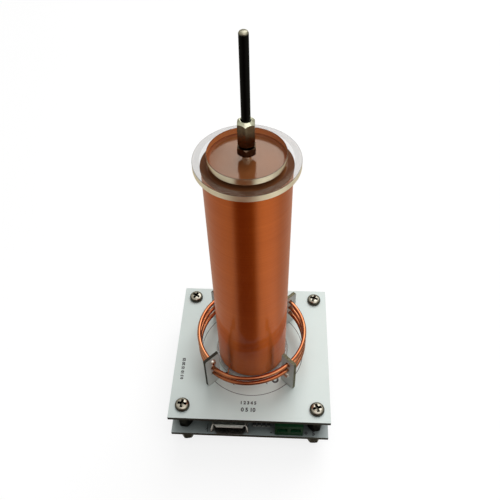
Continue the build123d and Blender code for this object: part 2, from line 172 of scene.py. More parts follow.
# ---- Printed marks of the lower board
# Black screen print, a few hundredths of a millimetre thick: the socket's outline, the signs
# of the screw terminal's two ways and a plain numeral.

BASE = "apparatus"
print_up, line_wide = 0.02, 0.22
size_to_height, ink_spread = 1.4, 0.09


def ink_finish():
    finish, tree, place = new_finish("black_screen_print")
    wear = clouds(tree, place, 4.0, 0.0, 1.0)
    coat(tree, {"Base Color": between(tree, wear, (0.012, 0.012, 0.014), (0.05, 0.05, 0.055)),
                "Roughness": clouds(tree, place, 2.0, 0.45, 0.7)})
    return finish


def highest(node):
    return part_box(node)[1][2] / MM


def strip(mesh, points, width, level, closed=False):
    """A flat printed line along points in millimetres."""
    rows = []
    count = len(points)
    for i, (x, y) in enumerate(points):
        before = points[i - 1] if i or closed else points[i]
        after = points[(i + 1) % count] if i < count - 1 or closed else points[i]
        dx, dy = after[0] - before[0], after[1] - before[1]
        scale = width / 2 / hypot(dx, dy)
        rows.append([mesh.verts.new(((x + side * dy * scale) * MM, (y - side * dx * scale) * MM, level))
                     for side in (-1, 1)])
    for i in range(count if closed else count - 1):
        (a, b), (c, d) = rows[i], rows[(i + 1) % count]
        mesh.faces.new((a, b, d, c))


def numerals(mesh, text, x, y, high, level, turn=0.0):
    """Plain numerals or signs, set on their middle."""
    letters = bpy.data.curves.new("numerals", "FONT")
    letters.body = text
    letters.size = high * MM * size_to_height
    letters.offset = ink_spread * MM
    letters.align_x = "CENTER"
    letters.align_y = "CENTER"
    holder = bpy.data.objects.new("numerals", letters)
    drawn = bpy.data.meshes.new_from_object(holder)
    drawn.transform(Matrix.Translation((x * MM, y * MM, level)) @ Matrix.Rotation(radians(turn), 4, "Z"))
    mesh.from_mesh(drawn)
    bpy.data.objects.remove(holder)
    bpy.data.curves.remove(letters)
    bpy.data.meshes.remove(drawn)


def place_piece(name, mesh, finish, body, stands_for=(), smooth_below=35.0):
    """Turns a finished bmesh into a piece of the object that rides on a body."""
    bmesh.ops.recalc_face_normals(mesh, faces=mesh.faces)
    data = bpy.data.meshes.new(name)
    mesh.to_mesh(data)
    mesh.free()
    for face in data.polygons:
        face.use_smooth = True
    data.set_sharp_from_angle(angle=radians(smooth_below))
    data.materials.append(finish)
    piece = bpy.data.objects.new(name, data)
    bpy.context.scene.collection.objects.link(piece)
    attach(piece, body)
    if stands_for:
        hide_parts(*stands_for)


ink = ink_finish()
lower_face = (highest("lower_board") + print_up) * MM
socket_side, terminal_row = -16.2, -28.5
marks = bmesh.new()
strip(marks, [(socket_side, -29.3), (socket_side, -26.0)], line_wide, lower_face)
strip(marks, [(socket_side - 0.7, -28.4), (socket_side + 0.2, -27.6)], line_wide, lower_face)
for sign, x, high in (("-", 8.3, 1.6), ("+", 21.6, 1.8), ("5", 24.4, 1.6)):
    numerals(marks, sign, x, terminal_row, high, lower_face)
place_piece("lower_board_print", marks, ink, BASE)


# ---- Legs
# Four hexagonal legs of dark nickel-plated brass, 5 mm across flats, both ends turned to a
# bevel. Each one's stud goes up through the lower board into a spacer, out of sight.

hole_half = 25.0
corners = [(x, y) for x in (-hole_half, hole_half) for y in (-hole_half, hole_half)]
spacer_flats, spacer_bevel = 5.0, 0.35
thread_radius, thread_pitch, thread_depth, rings_to_a_turn = 1.55, 0.5, 0.25, 4


def metal_finish(name, bright, dull, rough, per_mm=0.8, grain=(1, 1, 1), stain=None, sheer=1.0):
    """Plated or drawn metal: two close tones in clouds, uneven gloss and a fine grain."""
    finish, tree, place = new_finish(name)
    tone = between(tree, clouds(tree, place, per_mm, 0.0, 1.0, stretch=grain), bright, dull)
    if stain:
        patches = clouds(tree, place, per_mm / 3, -0.6, 1.0)
        tone = between(tree, reckon(tree, "MAXIMUM", patches, 0.0), tone, stain)
    fine = clouds(tree, place, per_mm * 12, 0.0, 1.0, stretch=grain)
    coat(tree, {"Base Color": tone, "Metallic": 1.0, "Specular Tint": (sheer, sheer, sheer, 1.0),
                "Roughness": clouds(tree, place, per_mm * 3, rough * 0.75, rough * 1.3, stretch=grain),
                "Normal": relief(tree, fine, 0.004, 0.3)})
    return finish


def lowest(node):
    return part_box(node)[0][2] / MM


def skin_over(mesh, rows, shut):
    """Walls between rows of points; they run back to the first row, or both ends are closed."""
    pairs = list(zip(rows, rows[1:])) + ([(rows[-1], rows[0])] if shut else [])
    for lower, upper in pairs:
        for i in range(len(lower)):
            j = (i + 1) % len(lower)
            mesh.faces.new((lower[i], lower[j], upper[j], upper[i]))
    if not shut:
        mesh.faces.new(rows[0])
        mesh.faces.new(rows[-1])


def round_mesh(outlines, steps, shut=False):
    """A round piece; each outline gives radius and height in millimetres at an angle."""
    mesh = bmesh.new()
    rows = []
    for outline in outlines:
        row = []
        for i in range(steps):
            angle = 2 * pi * i / steps
            radius, height = outline(angle)
            row.append(mesh.verts.new((radius * cos(angle) * MM, radius * sin(angle) * MM, height * MM)))
        rows.append(row)
    skin_over(mesh, rows, shut)
    return mesh


def level_ring(radius, height):
    return lambda angle: (radius, height)


def hex_edge(flats, height, turned, slope):
    """The edge between a flat side and a turned end, which rises and falls round the hexagon."""
    def at(angle):
        out = flats / 2 / cos((angle + pi / 6) % (pi / 3) - pi / 6)
        return out, height - max(0.0, out - turned) * slope
    return at


def threaded_bore(radius, low, high):
    """The rings of a threaded hole, from its top down."""
    count = int((high - low) / thread_pitch * rings_to_a_turn)

    def ring(i):
        height = high - (high - low) * i / count

        def at(angle):
            phase = (height / thread_pitch + angle / (2 * pi)) % 1.0
            return radius - thread_depth * (1 - abs(2 * phase - 1)), height
        return at
    return [ring(i) for i in range(count + 1)]


def hex_spacer_mesh(flats, low, high, bore, bevel):
    """A hexagonal spacer threaded right through, both ends turned to a bevel."""
    turned = flats / sqrt(3) - bevel
    face = min(turned, flats / 2)
    mouth = bore + thread_depth
    outlines = [hex_edge(flats, low, turned, -1.0), hex_edge(flats, high, turned, 1.0),
                level_ring(face, high), level_ring(mouth, high)]
    outlines += threaded_bore(bore, low + thread_depth, high - thread_depth)
    outlines += [level_ring(mouth, low), level_ring(face, low)]
    return round_mesh(outlines, 72, shut=True)


def set_round(mesh, x, y, turn=0.0):
    """Moves a mesh made on the axis to its place."""
    mesh.transform(Matrix.Translation((x * MM, y * MM, 0)) @ Matrix.Rotation(radians(turn), 4, "Z"))
    return mesh


def gather(parts):
    """One mesh of several."""
    whole = bmesh.new()
    for part in parts:
        data = bpy.data.meshes.new("part")
        part.to_mesh(data)
        whole.from_mesh(data)
        bpy.data.meshes.remove(data)
        part.free()
    return whole


def four_spacers(low, high, turns):
    """A spacer at each hole of the boards, each left at the angle where it came tight."""
    spacers = []
    for (x, y), turn in zip(corners, turns):
        spacer = hex_spacer_mesh(spacer_flats, low, high, thread_radius, spacer_bevel)
        spacers.append(set_round(spacer, x, y, turn))
    return gather(spacers)


nickel_dark = metal_finish("dark_nickel", (0.072, 0.066, 0.053), (0.012, 0.011, 0.009), 0.2, per_mm=0.7,
                           stain=(0.02, 0.018, 0.015), sheer=0.5)
legs = four_spacers(lowest("legs"), lowest("lower_board"), turns=(38.0, 27.0, 33.0, 24.0))
place_piece("hexagonal_legs", legs, nickel_dark, BASE, ["legs"])


# ---- Power stage on the lower board
# Black moulded parts with tinned leads, and a round aluminium can on its black base, all
# soldered flat on the board. The upper board hides them but for the row of chips in front.

def moulded_finish(name, colour, worn, rough, gloss=0.3):
    """Moulded plastic: a fine spark-eroded grain, paler where it is rubbed."""
    finish, tree, place = new_finish(name)
    coat(tree, {"Base Color": between(tree, clouds(tree, place, 1.5, 0.0, 1.0), colour, worn),
                "Roughness": clouds(tree, place, 3.0, rough * 0.8, rough * 1.2), "Specular IOR Level": gloss,
                "Normal": relief(tree, clouds(tree, place, 12.0, 0.0, 1.0), 0.01, 0.3)})
    return finish


resin = moulded_finish("black_resin", (0.012, 0.012, 0.013), (0.03, 0.03, 0.032), 0.5)
tinned = metal_finish("tinned_metal", (0.62, 0.60, 0.56), (0.45, 0.44, 0.41), 0.35)
drawn_can = metal_finish("drawn_aluminium", (0.80, 0.80, 0.81), (0.68, 0.68, 0.69), 0.3, grain=(1, 1, 0.1))
for node in ("driver_chip", "transistor_body", "chip_resistors", "filter_can_base"):
    dress(node, resin, round_by=0.05)
for node in ("driver_leads", "transistor_tab", "chip_ends"):
    dress(node, tinned, round_by=0.02)
dress("filter_can", drawn_can)


# ---- Power socket
# A shell folded from tinned steel sheet, with flared lips at its mouth. The black moulded
# insert inside carries four gold-plated contacts under its tongue.

lip_deep, lip_up = 1.15, 5.0


def along(tree, place, axis):
    """How far a place or a direction goes along X, Y or Z."""
    return shade(tree, "SeparateXYZ", {0: place}).outputs[axis]


def sheet_finish(lip_back, lip_low):
    """Tinned steel in painted shade on the shell, with a painted highlight on the top lip, which is made less
    metallic.
    """
    finish, tree, place = new_finish("tinned_steel_sheet")
    lip = reckon(tree, "MULTIPLY", reckon(tree, "LESS_THAN", along(tree, place, "Y"), lip_back * MM),
                 reckon(tree, "GREATER_THAN", along(tree, place, "Z"), lip_low * MM))
    # Painted shade: the whole shell is dark, as under the upper board. Painted highlight: the top lip is
    # pale.
    dull = between(tree, clouds(tree, place, 0.4, 0.0, 1.0, stretch=(1, 5, 1)),
                   (0.30, 0.29, 0.27), (0.12, 0.115, 0.105))
    painted_lit_lip = between(tree, clouds(tree, place, 0.7, 0.0, 1.0, stretch=(1, 4, 1)),
                     (0.95, 0.92, 0.84), (0.80, 0.77, 0.68))
    coat(tree, {"Base Color": between(tree, lip, dull, painted_lit_lip),
                "Metallic": reckon(tree, "SUBTRACT", 1.0, reckon(tree, "MULTIPLY", lip, 0.85)),
                "Roughness": clouds(tree, place, 1.2, 0.22, 0.4, stretch=(1, 5, 1)),
                "Normal": relief(tree, clouds(tree, place, 5.0, 0.0, 1.0, stretch=(1, 5, 1)), 0.004, 0.3)})
    return finish


socket_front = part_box("usb_shell")[0].y / MM
folded_steel = sheet_finish(socket_front + lip_deep, lowest("usb_shell") + lip_up)
insert_black = moulded_finish("socket_insert", (0.008, 0.008, 0.009), (0.02, 0.02, 0.022), 0.45)
gold_plate = metal_finish("gold_plate", (0.85, 0.60, 0.25), (0.72, 0.48, 0.18), 0.25)
dress("usb_shell", folded_steel, round_by=0.05)
dress("usb_tongue", insert_black, round_by=0.05)
dress("usb_contacts", gold_plate, round_by=0.03)


# ---- Screw terminal
# A two-way block moulded in green plastic. Each way has a slotted nickel-plated screw that
# draws a tinned clamp up against a fixed bar, and the wire goes in from the front.

block_green = moulded_finish("green_block", (0.003, 0.034, 0.011), (0.006, 0.055, 0.020), 0.55, gloss=0.08)
bright_nickel = metal_finish("bright_nickel", (0.78, 0.74, 0.66), (0.58, 0.54, 0.47), 0.22, per_mm=0.5)
dress("terminal_housing", block_green, round_by=0.12)
for node in ("terminal_screw_left", "terminal_screw_right"):
    dress(node, bright_nickel, round_by=0.06)
for node in ("terminal_clamp_left", "terminal_clamp_right", "terminal_contacts"):
    dress(node, tinned, round_by=0.05)


# ---- Board spacers
# Four hexagonal spacers like the legs, 11 mm long and threaded right through. They are screwed
# onto the legs' studs and carry the upper board.

spacers = four_spacers(lowest("board_spacers"), highest("board_spacers"), turns=(23.0, 32.0, 40.0, 28.0))
place_piece("hexagonal_spacers", spacers, nickel_dark, BASE, ["board_spacers"])


# ---- Upper circuit board
# The same laminate square as the lower one. A circle is printed on it under the primary
# coil, with two wire pads inside it and three rows of plain counting numerals.

coil_radius = 20.0


def circle_points(x, y, radius, start=0.0, end=360.0, steps=96):
    """Points round a circle, or from one angle to another with both ends."""
    turn = radians(end - start)
    angles = [radians(start) + turn * i / steps for i in range(steps + (end - start < 360))]
    return [(x + radius * cos(angle), y + radius * sin(angle)) for angle in angles]


dress("upper_board", laminate_finish("white_solder_mask", (0.70, 0.79, 0.76), upright=False))
upper_face = (highest("upper_board") + print_up) * MM
marks = bmesh.new()
strip(marks, circle_points(0, 0, coil_radius, steps=160), line_wide, upper_face, closed=True)
# A closed ring round the right pad, an open one round the left pad, and a tick by each.
strip(marks, circle_points(9.33, -13.06, 1.0, steps=48), 0.75, upper_face, closed=True)
strip(marks, circle_points(-8.7, -11.75, 1.2, -10, 190, steps=36), 1.0, upper_face)
for tick in ([(-6.9, -15.0), (-6.2, -15.8)], [(5.8, -14.3), (6.4, -15.0)]):
    strip(marks, tick, 0.3, upper_face)
for text, x, y, high, turn in (("1 2 3 4 5", -0.5, -23.1, 1.2, 0.0), ("0 5 10", -0.4, -25.9, 1.5, 0.0),
                               ("0 5 10 15 20 25", -26.6, -9.4, 1.05, 90.0)):
    numerals(marks, text, x, y, high, upper_face, turn)
place_piece("upper_board_print", marks, ink, BASE)


# ---- Upper board's screws
# Four nickel-plated pan-head screws with a cross recess, driven into the spacers. Painted shade
# darkens the recess and the rim of each head.

pinhole = 0.01
shank_radius, head_radius, head_high, head_rim, under_edge = 1.5, 2.75, 2.0, 0.7, 0.15
cross_long, cross_wide, cross_deep = 3.5, 1.05, 1.35
screw_tip, seat = lowest("board_screws"), highest("upper_board")


def lathe(profile, steps=64, shut=False):
    """A turned piece; the profile gives radius and height in millimetres, from axis to axis."""
    return round_mesh([level_ring(max(radius, pinhole), height) for radius, height in profile], steps, shut)


def cross_cutter(long, wide, top, deep):
    """The driver's cross, narrower at its tip."""
    bars = []
    for turn in (45, 135):
        bar = bmesh.new()
        rows = []
        for height, grow in ((top + 1.0, 1.25), (top, 1.0), (top - deep * 0.6, 0.75), (top - deep, 0.4)):
            half_long, half_wide = long / 2 * grow, wide / 2 * (0.4 + 0.6 * grow)
            rows.append([bar.verts.new((sx * half_long * MM, sy * half_wide * MM, height * MM))
                         for sx, sy in ((-1, -1), (1, -1), (1, 1), (-1, 1))])
        skin_over(bar, rows, shut=False)
        bmesh.ops.recalc_face_normals(bar, faces=bar.faces)
        bars.append(set_round(bar, 0, 0, turn))
    return gather(bars)


def carve(body, cutter):
    """Takes one mesh out of another."""
    made = []
    for name, mesh in (("body", body), ("cutter", cutter)):
        bmesh.ops.recalc_face_normals(mesh, faces=mesh.faces)
        data = bpy.data.meshes.new(name)
        mesh.to_mesh(data)
        mesh.free()
        made.append(bpy.data.objects.new(name, data))
        bpy.context.scene.collection.objects.link(made[-1])
    cut = made[0].modifiers.new("cut", "BOOLEAN")
    cut.object = made[1]
    cut.operation = "DIFFERENCE"
    cut.solver = "EXACT"
    cut.use_self = True
    seen = made[0].evaluated_get(bpy.context.evaluated_depsgraph_get())
    result = bmesh.new()
    result.from_mesh(seen.data)
    for piece in made:
        data = piece.data
        bpy.data.objects.remove(piece)
        bpy.data.meshes.remove(data)
    return result


def screw_finish(top):
    """Plated steel, with painted shade in the hollows and below the crown of the head."""
    finish, tree, place = new_finish("plated_screw")
    # Painted shade in the cross recess and other hollows.
    hollow = shade(tree, "AmbientOcclusion", {"Distance": 0.9 * MM}, samples=8).outputs["AO"]
    hollow_shade = reckon(tree, "POWER", hollow, 1.6)
    plate = between(tree, clouds(tree, place, 0.6, 0.0, 1.0), (0.40, 0.375, 0.32), (0.24, 0.225, 0.185))
    # Painted shade: the head is dark below its crown.
    crown = ramp(tree, along(tree, place, "Z"), (top - 0.62) * MM, (top - 0.26) * MM)
    plate = between(tree, crown, (0.060, 0.055, 0.042), plate)
    coat(tree, {"Base Color": between(tree, hollow_shade, (0.010, 0.009, 0.008), plate), "Metallic": 1.0,
                "Roughness": clouds(tree, place, 2.0, 0.18, 0.34),
                "Normal": relief(tree, clouds(tree, place, 6.0, 0.0, 1.0), 0.01, 0.3)})
    return finish


head_profile = [(0, screw_tip), (shank_radius, screw_tip), (shank_radius, seat),
                (head_radius - under_edge, seat), (head_radius, seat + under_edge)]
for i in range(17):
    out = cos(pi / 2 * i / 16)
    head_profile.append((head_radius * out, seat + head_rim + (head_high - head_rim) * sqrt(1 - out ** 3)))
screw_meshes = []
for (x, y), turn in zip(corners, (38.0, 14.0, 62.0, 25.0)):
    screw = carve(lathe(head_profile), cross_cutter(cross_long, cross_wide, seat + head_high, cross_deep))
    screw_meshes.append(set_round(screw, x, y, turn))
place_piece("pan_head_screws", gather(screw_meshes), screw_finish(highest("board_screws")), BASE,
            ["board_screws"])


# ---- Supports of the primary coil
# Four small uprights cut from white-masked laminate, tongued through the upper board on its
# diagonals. The wire passes through three tinned holes in each, and is soldered at its ends.

# The uprights' mask is painted greyer than the boards' as painted shade on their faces, and the right-hand
# uprights get pale sawn edges as painted light on the side facing the lamps.
upright_mask_with_painted_shade = (0.62, 0.64, 0.61)
dark_edged = laminate_finish("white_upright", upright_mask_with_painted_shade, upright=True)
painted_light_edged = laminate_finish("upright_with_painted_light_edges", upright_mask_with_painted_shade, upright=True,
                             sawn_dark=(0.050, 0.048, 0.028), sawn_pale=(0.24, 0.23, 0.13))
support_angles = {"front_right": -45.0, "back_right": 45.0, "back_left": 135.0, "front_left": 225.0}
for corner in support_angles:
    dress("coil_support_" + corner, painted_light_edged if corner.endswith("right") else dark_edged)

first_hole, hole_pitch, support_half = 7.0, 3.6, 0.6
pad_radius, pad_bore, pad_thick = 1.35, 0.92, 0.04
pad_profile = [(pad_radius, 0), (pad_radius - 0.03, pad_thick), (pad_bore, pad_thick), (pad_bore, 0)]
pad_meshes = []
for angle in support_angles.values():
    for hole in range(3):
        level = highest("upper_board") + first_hole + hole * hole_pitch
        for side in (-1, 1):
            pad = lathe(pad_profile, 32, shut=True)
            pad.transform(Matrix.Rotation(radians(angle), 4, "Z")
                          @ Matrix.Translation((coil_radius * MM, side * support_half * MM, level * MM))
                          @ Matrix.Rotation(radians(-90 * side), 4, "X"))
            pad_meshes.append(pad)
place_piece("support_pads", gather(pad_meshes), tinned, BASE)


# ---- Primary coil
# Bare copper wire, 1.5 mm thick, bent to two and three quarter turns through the supports.
# It lies level over three quarters and climbs one pitch in front. Its ends are soldered.

wire_radius, straight_end, bead_radius = 0.75, 1.6, 1.2
whole_turn, climb_over = 990, 90.0
climbs = ((270.0, 0.13), (630.0, 0.05))
wire_low = highest("upper_board") + first_hole


def copper_finish():
    finish, tree, place = new_finish("bare_copper")
    patches = clouds(tree, place, 0.12, 0.0, 1.0)
    coat(tree, {"Base Color": between(tree, patches, (0.45, 0.182, 0.086), (0.27, 0.078, 0.032)),
                "Metallic": 1.0, "Roughness": clouds(tree, place, 0.5, 0.1275, 0.238),
                "Normal": relief(tree, clouds(tree, place, 0.6, 0.0, 1.0, detail=1.0), 0.001, 0.1)})
    return finish


def coil_level(turned):
    """Height of the wire after so many degrees from the front right support.

    Each climb starts after so many degrees, at a slope, and comes out level.
    """
    level = wire_low
    for start, slope in climbs:
        share = min(max((turned - start) / climb_over, 0.0), 1.0)
        run = coil_radius * radians(climb_over) * slope
        level += hole_pitch * (3 * share ** 2 - 2 * share ** 3) + run * (share ** 3 - 2 * share ** 2 + share)
    return level


def wire_mesh(points, radius, name):
    """A round wire along points in millimetres, as a mesh."""
    line = bpy.data.curves.new(name, "CURVE")
    line.dimensions = "3D"
    line.bevel_depth = radius * MM
    line.bevel_resolution = 8
    line.use_fill_caps = True
    run = line.splines.new("POLY")
    run.points.add(len(points) - 1)
    for knot, (x, y, z) in zip(run.points, points):
        knot.co = (x * MM, y * MM, z * MM, 1)
    holder = bpy.data.objects.new(name, line)
    drawn = bpy.data.meshes.new_from_object(holder)
    mesh = bmesh.new()
    mesh.from_mesh(drawn)
    bpy.data.objects.remove(holder)
    bpy.data.curves.remove(line)
    bpy.data.meshes.remove(drawn)
    return mesh


path = []
for turned in range(0, whole_turn + 1, 2):
    angle = radians(turned - 45)
    path.append((coil_radius * cos(angle), coil_radius * sin(angle), coil_level(turned)))
first, last = path[0], path[-1]
for end, way, place_in in ((first, radians(-135), 0), (last, radians(whole_turn + 45), len(path) + 1)):
    path.insert(place_in, (end[0] + straight_end * cos(way), end[1] + straight_end * sin(way), end[2]))
place_piece("primary_coil_wire", wire_mesh(path, wire_radius, "primary"), copper_finish(), BASE,
            ["primary_coil"], smooth_below=60.0)


def solder_bead(x, y, z, angle, wide):
    """A small heap of solder round the wire against a support's face."""
    profile = []
    for lean in range(0, 86, 8):
        swell = 1 + 0.06 * sin(radians(3 * lean))
        profile.append((wide * cos(radians(lean)) * swell, wide * 0.75 * sin(radians(lean))))
    mesh = lathe(profile, 32)
    mesh.transform(Matrix.Translation((x * MM, y * MM, z * MM)) @ Matrix.Rotation(angle, 4, "Z")
                   @ Matrix.Rotation(radians(90), 4, "X"))
    return mesh


solder = metal_finish("solder", (0.72, 0.70, 0.66), (0.55, 0.53, 0.50), 0.28, per_mm=1.2)
beads = []
for (x, y, z), support, side in ((first, "front_right", -1), (last, "front_left", 1)):
    faces = radians(support_angles[support])
    out = side * support_half
    beads.append(solder_bead(x + out * cos(faces + pi / 2), y + out * sin(faces + pi / 2), z,
                             faces + (0 if side < 0 else pi), bead_radius))
place_piece("solder_beads", gather(beads), solder, BASE, smooth_below=70.0)


# ---- Base flange
# A disc of clear acrylic glued to the upper board, on which the secondary's tube stands.
# Its sawn rim is polished and slightly rounded.

seat_gap, disc_rim, disc_curve = 0.02, 0.15, 0.045


def reach(node):
    """How far a piece goes to the right of the axis, which is a round piece's radius."""
    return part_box(node)[1][0] / MM


def from_axis(tree, place):
    """The way out from the coil's axis to a place, and how long it is."""
    flat = vector(tree, "MULTIPLY", place, (1, 1, 0))
    return flat, vector(tree, "LENGTH", flat)


def acrylic_finish(name, over_tube, rim_colour, tube_alpha):
    """Clear acrylic: its faces take the colour of the copper beneath, and its rim shines pale."""
    finish, tree, place = new_finish(name)
    radius = from_axis(tree, place)[1]
    outside = ramp(tree, radius, tube_outer * MM, (tube_outer + 0.2) * MM)
    rise = reckon(tree, "ABSOLUTE", along(tree, shade(tree, "NewGeometry").outputs["Normal"], "Z"))
    rim = reckon(tree, "LESS_THAN", rise, 0.6)
    copper = between(tree, clouds(tree, place, 0.12, 0.0, 1.0), over_tube, darker(over_tube, 0.8))
    face = between(tree, outside, copper, (0.70, 0.69, 0.66))
    edge = between(tree, clouds(tree, place, 0.5, 0.0, 1.0), rim_colour, darker(rim_colour, 0.75))
    see = reckon(tree, "ADD", reckon(tree, "MULTIPLY", outside, 0.35 - tube_alpha), tube_alpha)
    solid = reckon(tree, "MAXIMUM", see, reckon(tree, "MULTIPLY", rim, 0.85))
    coat(tree, {"Base Color": between(tree, rim, face, edge), "Alpha": solid, "IOR": 1.49,
                "Roughness": clouds(tree, place, 0.6, 0.04, 0.12, stretch=(1, 1, 3)),
                "Normal": relief(tree, clouds(tree, place, 1.0, 0.0, 1.0), 0.003, 0.3)})
    return finish


def clear_disc(radius, low, high, bore=0.0):
    """A flat disc with rounded rims, with a hole in the middle if it has a bore."""
    profile = [(bore, low), (radius - disc_rim, low), (radius - disc_curve, low + disc_curve),
               (radius, low + disc_rim), (radius, high - disc_rim),
               (radius - disc_curve, high - disc_curve), (radius - disc_rim, high), (bore, high)]
    return lathe(profile, 160, shut=bore > 0)


tube_outer = reach("coil_former")
clear_acrylic = acrylic_finish("clear_acrylic", (0.30, 0.16, 0.10), (0.62, 0.60, 0.52), 0.4)
flange = clear_disc(reach("base_flange"), lowest("base_flange") + seat_gap, highest("base_flange") - seat_gap)
place_piece("base_flange_disc", flange, clear_acrylic, BASE, ["base_flange"],
            smooth_below=15.0)


# ---- Secondary coil
# Several hundred turns of fine enamelled copper wire, wound side by side on a clear tube and
# varnished. The winding is glossy and shows faint rings. Its wire is led out at both ends.

def winding_finish():
    finish, tree, place = new_finish("enamelled_winding")
    turns = clouds(tree, place, 1.0, 0.0, 1.0, detail=2.0, stretch=(0.02, 0.02, 3.0))
    bands = clouds(tree, place, 1.0, 0.0, 1.0, detail=4.0, stretch=(0.01, 0.01, 0.12))
    warm = between(tree, turns, (0.57, 0.130, 0.017), (0.50, 0.108, 0.012))
    tone = between(tree, reckon(tree, "MULTIPLY", bands, 0.45), warm, (0.45, 0.090, 0.010))
    coat(tree, {"Base Color": tone,
                "Metallic": 1.0, "Anisotropic": 0.85, "Anisotropic Rotation": 0.25,
                "Roughness": clouds(tree, place, 0.4, 0.36, 0.44, stretch=(0.2, 0.2, 4.0)),
                "Tangent": shade(tree, "Tangent", direction_type="RADIAL", axis="Z").outputs[0],
                "Coat Weight": 0.30, "Coat Roughness": 0.03, "Coat IOR": 1.5,
                "Normal": relief(tree, turns, 0.006, 0.2)})
    return finish


def sleeve(outer, inner, low, high):
    return lathe([(inner, low), (outer, low), (outer, high), (inner, high)], 192, shut=True)


tube_wall = 2.0
enamelled = winding_finish()
tube_clear = acrylic_finish("clear_tube", (0.30, 0.10, 0.045), (0.50, 0.30, 0.20), 0.6)
winding = sleeve(reach("secondary_winding"), tube_outer, lowest("secondary_winding"),
                 highest("secondary_winding"))
tube = sleeve(tube_outer - seat_gap, tube_outer - tube_wall, lowest("coil_former") + seat_gap,
              highest("coil_former") - seat_gap)
place_piece("secondary_coil_winding", winding, enamelled, BASE, ["secondary_winding"])
place_piece("secondary_tube", tube, tube_clear, BASE, ["coil_former"])
for node in ("secondary_base_lead", "secondary_top_lead"):
    dress(node, enamelled)


# ---- Top flange and disc
# A wider disc of the same acrylic closes the tube, and a smaller one lies on it under the
# nut. The copper inside the tube shows through both as a brown ground, and their rims shine.

def head_finish(name, node, seen_to, ring_from, ground, ring_tone, within_tone, within_alpha, rim_rough):
    """Polished clear acrylic: a mirror-like rim, and the copper seen through its lower face."""
    finish, tree, place = new_finish(name)
    flat, radius = from_axis(tree, place)
    height = along(tree, place, "Z")
    normal = shade(tree, "NewGeometry").outputs["True Normal"]
    rise = reckon(tree, "ABSOLUTE", along(tree, normal, "Z"))

    # Where a point lies: on a wall, the upper edge, the bore's side or the lower face.
    wall = reckon(tree, "LESS_THAN", rise, 0.25)
    upper = reckon(tree, "GREATER_THAN", height, (highest(node) - 1.0) * MM)
    corner = reckon(tree, "MULTIPLY", reckon(tree, "LESS_THAN", rise, 0.95),
                    reckon(tree, "SUBTRACT", upper, wall))
    within = reckon(tree, "LESS_THAN", vector(tree, "DOT_PRODUCT", normal, flat), 0.0)
    over = reckon(tree, "LESS_THAN", radius, seen_to * MM)
    beneath = reckon(tree, "MULTIPLY", over, reckon(tree, "LESS_THAN", height, (lowest(node) + 0.18) * MM))
    ring = ramp(tree, radius, ring_from * MM, (ring_from + 0.35) * MM)

    # Its tone there.
    brown = between(tree, clouds(tree, place, 0.12, 0.0, 1.0), ground, darker(ground, 0.85))
    pale = between(tree, clouds(tree, place, 0.3, 0.0, 1.0, stretch=(1, 1, 3)),
                   (0.97, 0.92, 0.78), (0.85, 0.80, 0.65))
    tone = between(tree, beneath, (0.11, 0.088, 0.064), between(tree, ring, brown, ring_tone))
    tone = between(tree, wall, tone, between(tree, within, pale, within_tone))
    # Painted shade: a dark line along the upper rounded edge.
    tone = between(tree, corner, tone, (0.10, 0.075, 0.055))

    # How far it hides what lies behind it.
    solid = reckon(tree, "SUBTRACT", 0.22, reckon(tree, "MULTIPLY", over, 0.19))
    walled = reckon(tree, "SUBTRACT", 0.95, reckon(tree, "MULTIPLY", within, 0.95 - within_alpha))
    for part, least in ((beneath, 1.0), (wall, walled), (corner, 0.7)):
        solid = reckon(tree, "MAXIMUM", solid, reckon(tree, "MULTIPLY", part, least))

    # The rim mirrors the room, and the ground under the ring is dull.
    mirror = reckon(tree, "MULTIPLY", wall, reckon(tree, "SUBTRACT", 1.0, within))
    dulled = reckon(tree, "ADD", reckon(tree, "MULTIPLY", mirror, rim_rough),
                    reckon(tree, "MULTIPLY", reckon(tree, "MULTIPLY", ring, beneath), 0.75))
    gloss = clouds(tree, place, 0.6, 0.10, 0.16, stretch=(1, 1, 3))
    coat(tree, {"Base Color": tone, "Alpha": solid, "IOR": 1.49, "Specular Tint": (1.0, 0.86, 0.70, 1.0),
                "Metallic": mirror, "Roughness": reckon(tree, "ADD", gloss, dulled),
                "Normal": relief(tree, clouds(tree, place, 1.0, 0.0, 1.0), 0.002, 0.3)})
    return finish


head_bore = 1.3
# On the flange the ring tone is far darker than the ground: painted shade in a ring round the small disc.
flange_acrylic = head_finish("flange_acrylic", "top_flange", seen_to=13.2, ring_from=11.0,
                             ground=(0.24, 0.080, 0.024), ring_tone=(0.105, 0.030, 0.008),
                             within_tone=(0.75, 0.72, 0.66), within_alpha=0.12, rim_rough=0.35)
# On the small disc the inner face of the rim is an opaque copper red: a painted reflection of the copper
# below.
disc_acrylic = head_finish("disc_acrylic", "top_disc", seen_to=reach("top_disc"), ring_from=10.1,
                           ground=(0.21, 0.066, 0.018), ring_tone=(0.24, 0.062, 0.014),
                           within_tone=(0.80, 0.28, 0.085), within_alpha=1.0, rim_rough=0.08)
for name, node, finish in (("top_flange_disc", "top_flange", flange_acrylic),
                           ("top_small_disc", "top_disc", disc_acrylic)):
    disc = clear_disc(reach(node), lowest(node) + seat_gap, highest(node), head_bore)
    place_piece(name, disc, finish, BASE, [node], smooth_below=15.0)


# ---- Nut, holder and discharge rod
# A screw from inside the tube carries the discs, a nickel-plated nut and a small hexagonal
# spacer. The rod of blackened steel is screwed into the spacer, and its cut tip is bright.

